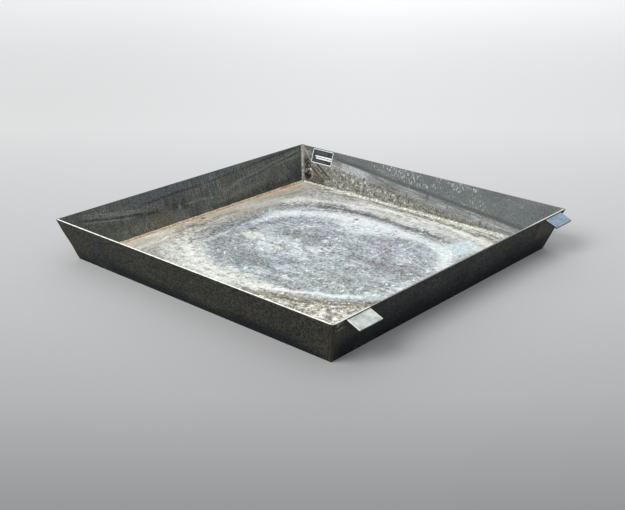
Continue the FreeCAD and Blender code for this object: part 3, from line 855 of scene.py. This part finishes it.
def add_seam_welds(metals):
    leg = 5.8 * MM
    for index, side in enumerate(WALL_TURNS):
        turn = turned_z(WALL_TURNS[side]).to_3x3()
        half = FOOT - (0 if side in ("front", "back") else 6 * MM)
        root_y = -FOOT - (THICK - FOOT_HEIGHT) * tan(LEAN)
        start = turn @ Vector((-half, root_y, THICK))
        end = turn @ Vector((half, root_y, THICK))
        toe_floor = Vector((0, leg, 0))
        toe_wall = Vector((0, -leg * sin(LEAN), leg * cos(LEAN)))
        stations = straight_stations(start, end, 1 * MM, turn)
        build = bead(stations, toe_floor, toe_wall, 0.8 * MM, 7 * MM, 0.85 * MM, 20 + index)
        add_bead(f"seam_bead_{side}", build, metals[side], f"floor_seam_weld_{side}")


def add_tab_welds(metals):
    for index, side in enumerate(("left", "right")):
        low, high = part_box(f"tab_weld_{side}")
        leg = 5.6 * MM
        root_y = low.y + leg * cos(TAB_SLOPE) + 0.2 * MM
        toe_tab = Vector((0, -cos(TAB_SLOPE), -sin(TAB_SLOPE))) * leg
        toe_wall = Vector((0, sin(LEAN), -cos(LEAN))) * leg
        stations = straight_stations(Vector((low.x, root_y, high.z)),
                                     Vector((high.x, root_y, high.z)), 0.6 * MM,
                                     Matrix.Identity(3))
        build = bead(stations, toe_tab, toe_wall, 0.4 * MM, 4 * MM, 0.4 * MM, 80 + index)
        add_bead(f"tab_bead_{side}", build, metals[side], f"tab_weld_{side}")


def add_ring_welds(metal):
    place = drain_frame()
    leg = 3.3 * MM
    inner_face = -24.2 * MM
    for name, level, rise in (("inner", inner_face, -1), ("outer", inner_face + THICK, 1)):
        stations = []
        count = 180
        for i in range(count):
            spin = Matrix.Rotation(tau * i / count, 4, "Z")
            turn = (place @ spin).to_3x3()
            stations.append((place @ spin @ Vector((COUPLING_RADIUS, 0, level)), turn))
        build = bead(stations, Vector((leg, 0, 0)), Vector((0, 0, rise * leg)), 0.3 * MM,
                     4 * MM, 0.5 * MM, 90 + rise, closed=True)
        add_bead(f"ring_bead_{name}", build, metal, f"coupling_weld_{name}")


def lumps(places, seed):
    """Rough domes, each given as a matrix whose Z points out of the steel, a radius and
    a height; every dome is a closed skin that starts a little below the surface."""
    chance = random.Random(seed)
    sides = 14
    build = bmesh.new()
    for place, radius, height in places:
        phases = [chance.uniform(0, tau) for _ in range(3)]
        rows = []
        for tilt in (-20, 0, 22, 44, 64, 80):
            level = height * sin(radians(tilt))
            row = []
            for i in range(sides):
                angle = tau * i / sides
                uneven = 1 + 0.16 * sin(2 * angle + phases[0]) + 0.1 * sin(3 * angle + phases[1])
                reach = radius * cos(radians(tilt)) * uneven
                row.append(place @ Vector((reach * cos(angle), reach * sin(angle), level)))
            rows.append(row)
        loft(rows, build=build)
    return build


def on_wall(side, u, v):
    """A place on a wall's inner face, with Z pointing into the pan."""
    return wall_frame(side) @ Matrix.Translation((u, v, 0)) @ Matrix.Rotation(pi, 4, "X")


def add_crumbs(pale_metal, dark_metal):
    """Deposit crumbs by the drain and the floor seams, and weld spatter near the drain."""
    pale = [(on_wall("right", 0.531, 0.06), 5 * MM, 3.6 * MM),
            (on_wall("right", 0.524, 0.0575), 3.2 * MM, 3 * MM),
            (on_wall("right", 0.553, 0.0545), 2.6 * MM, 2.2 * MM)]
    for x, y, radius in ((0.547, 0.55, 3), (0.54, 0.5455, 1.8), (0.55, 0.537, 2.2),
                         (0.532, 0.551, 1.5), (0.09, 0.544, 2), (0.06, 0.5465, 2.4),
                         (0.5455, -0.01, 2.4), (0.544, 0.015, 1.8)):
        pale.append((Matrix.Translation((x, y, THICK)), radius * MM, radius * 0.7 * MM))
    add_object("deposit_crumbs", lumps(pale, 11), pale_metal, "pan")
    dark = []
    for side, u, v, radius in (("right", 0.559, 0.098, 3.6), ("right", 0.571, 0.087, 2.8),
                               ("right", 0.549, 0.105, 2), ("right", 0.56, 0.06, 2.4),
                               ("right", 0.505, 0.012, 2.2), ("right", 0.496, 0.03, 1.5),
                               ("back", -0.565, 0.07, 2), ("back", -0.558, 0.03, 2.2)):
        dark.append((on_wall(side, u, v), radius * MM, radius * 0.6 * MM))
    add_object("weld_spatter", lumps(dark, 12), dark_metal, "pan")


# ---------- drain fitting
PITCH = 25.4 * MM / 11.5
THREAD_MEAN = 15.63 * MM
THREAD_DEPTH = 1.2 * MM
AROUND = 96


def thread_radius(level, angle, gap=0):
    """Radius of the helical thread at a height and an angle of the drain's frame."""
    share = (level / PITCH - angle / tau) % 1
    wave = 4 * abs(share - 0.5) - 1
    wave = max(-0.75, min(0.75, wave))
    return THREAD_MEAN - gap + THREAD_DEPTH / 2 * wave / 0.75


def ring_of(place, radius_at, level):
    """Ring of points round the drain's axis; the radius may depend on the angle."""
    points = []
    for i in range(AROUND):
        angle = tau * i / AROUND
        radius = radius_at(angle) if callable(radius_at) else radius_at
        points.append(place @ Vector((radius * cos(angle), radius * sin(angle), level)))
    return points


def add_coupling(metal):
    place = drain_frame()
    outer, length, chamfer = COUPLING_RADIUS, 30.2 * MM, 1.2 * MM
    rows = []
    for radius, level in ((outer - 0.5 * MM, -length), (outer, -length + 0.5 * MM),
                          (outer, -0.5 * MM), (outer - 0.5 * MM, 0)):
        rows.append(ring_of(place, radius, level))
    steps = 130
    for i in range(steps + 1):
        level = -length * i / steps
        depth = min(-level, length + level)
        mouth = THREAD_MEAN + THREAD_DEPTH / 2 + 0.3 * MM + chamfer - depth

        def radius_at(angle, level=level, mouth=mouth):
            return max(thread_radius(level, angle), mouth)

        rows.append(ring_of(place, radius_at, level))
    build = loft(rows, path_closed=True)
    add_object("threaded_coupling", build, metal, "pan", "drain_coupling")


def add_plug(metal):
    place = drain_frame()
    washer, shank, collar, collar_thick = 2 * MM, 18 * MM, 19.5 * MM, 4 * MM
    flats, head = 24 * MM, 9 * MM
    rows = []
    steps = 72
    for i in range(steps + 1):
        level = washer - shank + (shank - 2.2 * MM) * i / steps
        depth = level - (washer - shank)
        nose = THREAD_MEAN - THREAD_DEPTH / 2 - 0.8 * MM + depth

        def radius_at(angle, level=level, nose=nose):
            return min(thread_radius(level, angle, 0.2 * MM), nose)

        rows.append(ring_of(place, radius_at, level))
    neck = THREAD_MEAN - THREAD_DEPTH / 2 - 0.3 * MM
    edge = 0.5 * MM
    for radius, level in ((neck, washer - 2 * MM), (neck, washer),
                          (collar - edge, washer), (collar, washer + edge),
                          (collar, washer + collar_thick - edge),
                          (collar - edge, washer + collar_thick)):
        rows.append(ring_of(place, radius, level))
    base = washer + collar_thick
    for i in range(9):
        rise = head * (0 if i == 0 else 0.62 + 0.38 * (i - 1) / 7)
        cone = flats / 2 - 0.3 * MM + (head - rise) * 1.5

        def radius_at(angle, cone=cone):
            turned = (angle + pi / 6) % (pi / 3) - pi / 6
            return min(flats / 2 / cos(turned), cone)

        rows.append(ring_of(place, radius_at, base + rise))
    build = loft(rows)
    made = add_object("threaded_plug", build, metal, "plug", "drain_plug")
    made.data.set_sharp_from_angle(angle=radians(35))


# ---------- frame nodes
def dress_frame():
    """Gives the CAD nodes that stay their materials and slightly rounded edges."""
    paints = {"floor_plate": floor_paint(), "data_label": label_paint()}
    for side in WALL_TURNS:
        paints[f"{side}_wall"] = wall_paint(side)
    paints["lifting_tab_left"] = tab_paint("left", "#d8ddda", 0.6)
    paints["lifting_tab_right"] = tab_paint("right", "#a4bccc", 0.1)
    paints["plug_washer"] = fitting_paint("soft_copper", ("#965c3c", "#ba7852"), 1)
    rounding = {"floor_plate": 0.3, "lifting_tab_left": 0.5, "lifting_tab_right": 0.5, "plug_washer": 0.3}
    for node, material in paints.items():
        piece = frame["nodes"][node]
        piece.data.materials.clear()
        piece.data.materials.append(material)
        if node == "data_label":
            continue
        piece.modifiers.new("join", "WELD").merge_threshold = 0.01 * MM
        rounded = piece.modifiers.new("round", "BEVEL")
        rounded.width = rounding.get(node, 0.4) * MM
        rounded.segments = 2
        rounded.limit_method = "ANGLE"
        rounded.angle_limit = radians(40)


# ---------- studio
VIEW_AZIMUTH = radians(-48.17)
SKY = (0.94, 0.97, 1, 1)
SKY_STRENGTH = 0.62
FLOOR_GLOW = 0.05
# Greys of the studio floor from the front to the back.
FLOOR_GREYS = ((0, "#767677"), (0.07, "#979798"), (0.15, "#a9a9aa"),
               (0.25, "#b5b5b6"), (0.42, "#c9c9c9"), (1, "#cfcfcf"))


def add_camera():
    elevation, roll = radians(21.99), radians(-0.11)
    distance = 3.508
    side_shift, up_shift = -0.00536, -0.00606
    back = Vector((sin(VIEW_AZIMUTH) * cos(elevation),
                   -cos(VIEW_AZIMUTH) * cos(elevation), sin(elevation)))
    right = Vector((0, 0, 1)).cross(back).normalized()
    up = back.cross(right)
    right, up = (cos(roll) * right + sin(roll) * up, -sin(roll) * right + cos(roll) * up)
    data = bpy.data.cameras.new("camera")
    data.sensor_width = 36
    data.lens = 58.97
    data.clip_end = 100
    camera = add_to_scene("camera", data)
    place = Matrix((right, up, back)).transposed().to_4x4()
    place.translation = right * side_shift + up * up_shift + back * distance
    camera.matrix_world = place
    bpy.context.scene.camera = camera


def add_area(name, spot, size, power, colour):
    data = bpy.data.lights.new(name, "AREA")
    data.shape = "RECTANGLE"
    data.size, data.size_y = size
    data.energy = power
    data.color = colour
    light = add_to_scene(name, data)
    light.location = spot
    light.rotation_euler = (-Vector(spot)).to_track_quat("-Z", "Y").to_euler()
    return light


def add_lights():
    world = bpy.data.worlds.new("studio")
    bpy.context.scene.world = world
    world.use_nodes = True
    background = world.node_tree.nodes["Background"]
    background.inputs["Color"].default_value = SKY
    background.inputs["Strength"].default_value = SKY_STRENGTH
    add_area("key", (-7.2, 0.4, 6.6), (5, 5), 870, (1, 0.985, 0.955))
    add_area("top", (0.2, 0.3, 4.2), (4, 4), 30, (0.96, 0.98, 1))
    far = add_area("backdrop", (5.8, 5.3, 3.8), (9.5, 6.2), 300, (1, 1, 1))
    far.rotation_euler = (0, 0, VIEW_AZIMUTH)
    bpy.context.scene.view_settings.view_transform = "Standard"


def studio_floor_paint():
    """Pale floor that darkens to the front and a little to the left."""
    paint = Paint("studio_floor", specular=0.05)
    to_back = (-sin(VIEW_AZIMUTH), cos(VIEW_AZIMUTH), 0)
    to_right = (cos(VIEW_AZIMUTH), sin(VIEW_AZIMUTH), 0)
    depth = paint.vector("DOT_PRODUCT", paint.spot, to_back)
    across = paint.vector("DOT_PRODUCT", paint.spot, to_right)
    paint.colour = (abs(depth + 1.5) / 7.5).ramp(*FLOOR_GREYS)
    paint.grit(0.04, paint.noise(paint.spot, 0.7, 2, 0.4), (0.3, 110), (0.7, 146))
    near_key = across.step(0.6, -1.6, 1, 0.88)
    dimmed = paint.join(near_key, near_key, near_key)
    paint.colour = paint.mix(1, paint.colour, dimmed, "MULTIPLY")
    # A faint glow keeps the contact shadow light. Beyond the lights the floor glows like
    # the world, so that no horizon shows.
    far_off = paint.vector("LENGTH", paint.spot).step(7.5, 11)
    paint.lay(far_off, "#000000")
    paint.wire(paint.shader.inputs["Emission Color"], SKY)
    paint.wire(paint.shader.inputs["Emission Strength"],
               far_off * (SKY_STRENGTH - FLOOR_GLOW) + FLOOR_GLOW)
    return paint.finish(0.9)


def add_studio_floor():
    build = bmesh.new()
    bmesh.ops.create_grid(build, x_segments=1, y_segments=1, size=25)
    mesh = mesh_from(build, "studio_floor", studio_floor_paint())
    add_to_scene("studio_floor", mesh)


dress_frame()
pale_weld = weld_paint("deposit_weld", ("#6a6962", "#cac9bf"), 0.15)
crusted_weld = weld_paint("crusted_weld", ("#929085", "#ecebe3"), 0.05)
rusty_weld = weld_paint("rusty_weld", ("#a89a80", "#ded4be"), 0.38, 0.1)
outer_weld = weld_paint("outer_weld", ("#181712", "#3e3929"), 0.05)
ring_weld = weld_paint("ring_weld", ("#544e42", "#c4beb0"), 0.2)
add_corner_welds(pale_weld, outer_weld)
add_seam_welds({"front": pale_weld, "right": crusted_weld, "back": rusty_weld, "left": pale_weld})
# Tab welds: the left one pale with painted highlight, the right one bluish and dark with painted shade.
add_tab_welds({"left": weld_paint("painted_highlight_weld", ("#aaaeaa", "#e2e6e2"), 0.02),
               "right": weld_paint("bluish_painted_shade_weld", ("#54626c", "#96aab8"), 0.02)})
add_ring_welds(ring_weld)
add_crumbs(crusted_weld, outer_weld)
add_coupling(fitting_paint("coupling_steel", ("#545048", "#807c72"), 0.6))
add_plug(fitting_paint("plug_zinc", ("#787468", "#a09c8e"), 0.8))
add_camera()
add_lights()
add_studio_floor()
